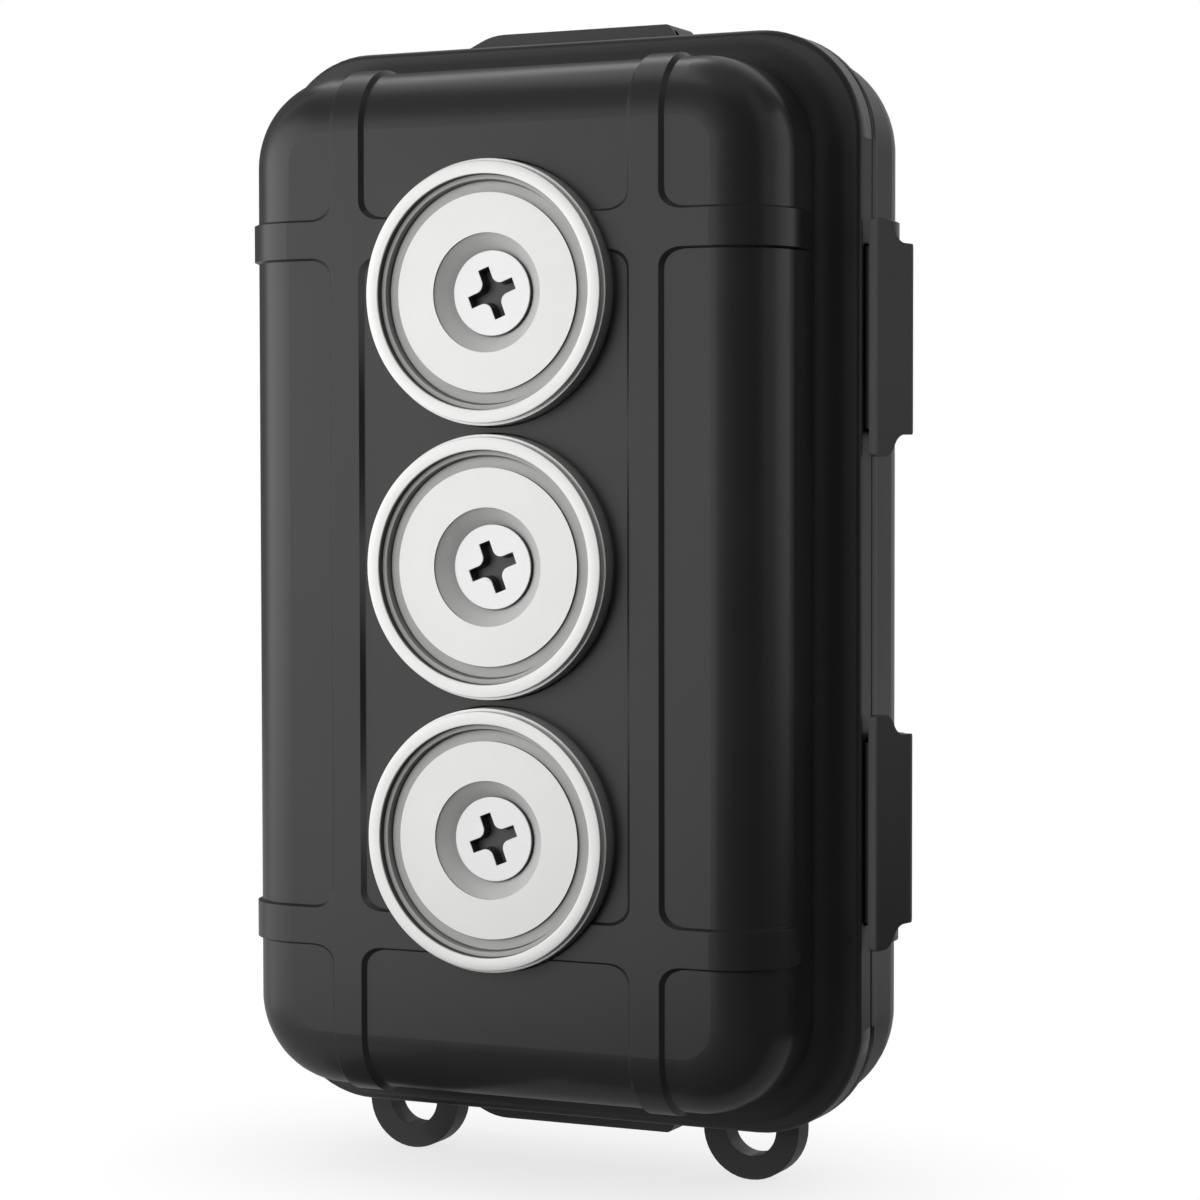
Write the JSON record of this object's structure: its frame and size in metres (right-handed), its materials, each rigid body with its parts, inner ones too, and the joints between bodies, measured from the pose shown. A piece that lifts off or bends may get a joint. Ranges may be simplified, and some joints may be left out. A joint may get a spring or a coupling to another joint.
{
  "type": "magnetic key holder box",
  "caption": "Upright clamshell key box with crossed raised bands, a gasketed side-hinged lid, latches, lanyard loops and screwed-on pot magnets on its front.",
  "frame": {"origin": "in the plane in which the three magnet rims touch a steel surface, in line with the middle of the case", "axes": "-Y out of the magnets towards the steel surface, +X towards the latches, +Z along the case, away from the lanyard loops"},
  "size_m": [0.0886, 0.0427, 0.1446],
  "materials": {
    "case_plastic": "satin moulded black ABS",
    "latch_plastic": "satin moulded black nylon",
    "seal_rubber": "matt silicone rubber",
    "cup_nickel": "bright nickel-plated steel",
    "magnet_nickel": "satin nickel plating",
    "potting_resin": "grey casting resin",
    "bush_plastic": "grey moulded nylon",
    "screw_steel": "bright zinc-plated steel",
    "nut_steel": "zinc-plated steel",
    "pin_steel": "drawn steel wire"
  },
  "bodies": {
    "base": {"base_shell": "case_plastic", "upper_magnet_cup": "cup_nickel", "upper_ring_magnet": "magnet_nickel", "upper_potting_ring": "potting_resin", "upper_centre_bush": "bush_plastic", "middle_magnet_cup": "cup_nickel", "middle_ring_magnet": "magnet_nickel", "middle_potting_ring": "potting_resin", "middle_centre_bush": "bush_plastic", "lower_magnet_cup": "cup_nickel", "lower_ring_magnet": "magnet_nickel", "lower_potting_ring": "potting_resin", "lower_centre_bush": "bush_plastic", "magnet_screws": "screw_steel", "screw_seals": "seal_rubber", "screw_washers": "nut_steel", "screw_nuts": "nut_steel", "upper_hinge_pin": "pin_steel", "lower_hinge_pin": "pin_steel"},
    "lid": {"lid_shell": "case_plastic", "gasket": "seal_rubber", "upper_latch_pin": "pin_steel", "lower_latch_pin": "pin_steel"},
    "upper_latch": {"upper_latch": "latch_plastic"},
    "lower_latch": {"lower_latch": "latch_plastic"}
  },
  "joints": [
    {"name": "lid_hinge", "type": "hinge", "parent": "base", "child": "lid", "pos_m": [-0.0429, 0.0247, 0], "axis": [0, 0, 1], "range_deg": [0, 175]},
    {"name": "upper_latch_pivot", "type": "hinge", "parent": "lid", "child": "upper_latch", "pos_m": [0.041, 0.0302, 0.03], "axis": [0, 0, 1], "range_deg": [0, 95]},
    {"name": "lower_latch_pivot", "type": "hinge", "parent": "lid", "child": "lower_latch", "pos_m": [0.041, 0.0302, -0.03], "axis": [0, 0, 1], "range_deg": [0, 95]}
  ]
}
